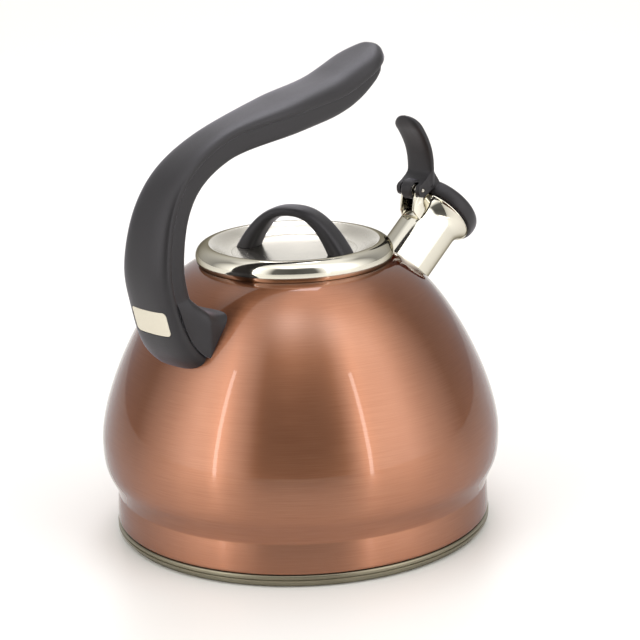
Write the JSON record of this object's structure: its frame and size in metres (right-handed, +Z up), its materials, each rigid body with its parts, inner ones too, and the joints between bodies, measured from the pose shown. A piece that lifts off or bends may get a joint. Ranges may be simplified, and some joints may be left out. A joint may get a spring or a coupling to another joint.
{
  "type": "stovetop whistling kettle",
  "caption": "Round-bellied stovetop kettle with a lift-off lid, an arched handle reaching over it and a spout closed by a sprung whistle cap.",
  "frame": {"origin": "centre of the base's underside, on the body's axis", "axes": "+Z up along the body's axis, +X towards the spout, the handle's foot on the -X side"},
  "size_m": [0.2255, 0.2008, 0.237],
  "materials": {
    "capsule_steel": "satin pressed steel, slightly dulled by heat",
    "capsule_aluminium": "plain rolled aluminium",
    "rim_steel": "dull satin steel with one turned groove",
    "copper_lacquer": "translucent copper lacquer over brushed stainless steel",
    "lid_rim_chrome": "mirror chrome",
    "lid_skirt_steel": "drawn stainless steel",
    "lid_plate_steel": "radially reflecting satin stainless steel",
    "lid_grip_black": "soft-touch matt black, fine moulded grain",
    "screw_steel": "plain stainless",
    "spout_chrome": "mirror-polished stainless",
    "bracket_steel": "polished folded sheet",
    "pin_steel": "ground steel pin",
    "whistle_steel": "stamped stainless",
    "lever_black": "soft-touch matt black, fine moulded grain",
    "spring_steel": "drawn spring wire",
    "handle_black": "soft-touch matt black, fine moulded grain",
    "handle_core_black": "soft-touch matt black, fine moulded grain",
    "badge_satin": "blank satin silver plate"
  },
  "bodies": {
    "kettle": {"base_plate": "capsule_steel", "base_core": "capsule_aluminium", "base_rim": "rim_steel", "body_shell": "copper_lacquer", "spout_tube": "spout_chrome", "cap_bracket": "bracket_steel", "pivot_pin": "pin_steel", "cap_spring": "spring_steel", "handle_shell": "handle_black", "handle_core": "handle_core_black", "handle_badge": "badge_satin", "handle_bracket": "screw_steel", "handle_screw_left": "screw_steel", "handle_screw_right": "screw_steel"},
    "lid": {"lid_rim": "lid_rim_chrome", "lid_skirt": "lid_skirt_steel", "lid_plate": "lid_plate_steel", "lid_arch": "lid_grip_black", "lid_screw_front": "screw_steel", "lid_screw_back": "screw_steel", "lid_washer_front": "screw_steel", "lid_washer_back": "screw_steel"},
    "cap": {"thumb_lever": "lever_black", "whistle_outer_plate": "whistle_steel", "whistle_inner_plate": "whistle_steel", "whistle_ring": "whistle_steel"}
  },
  "joints": [
    {"name": "lid_lift", "type": "slide", "parent": "kettle", "child": "lid", "axis": [0, 0, 1], "range_m": [0, 0.025]},
    {"name": "cap_hinge", "type": "hinge", "parent": "kettle", "child": "cap", "pos_m": [0.08728, 0, 0.15679], "axis": [0, -1, 0], "range_deg": [0, 50], "stiffness_Nm_per_rad": 0.02, "springref_deg": -28.65, "deforming": ["cap_spring"]}
  ]
}
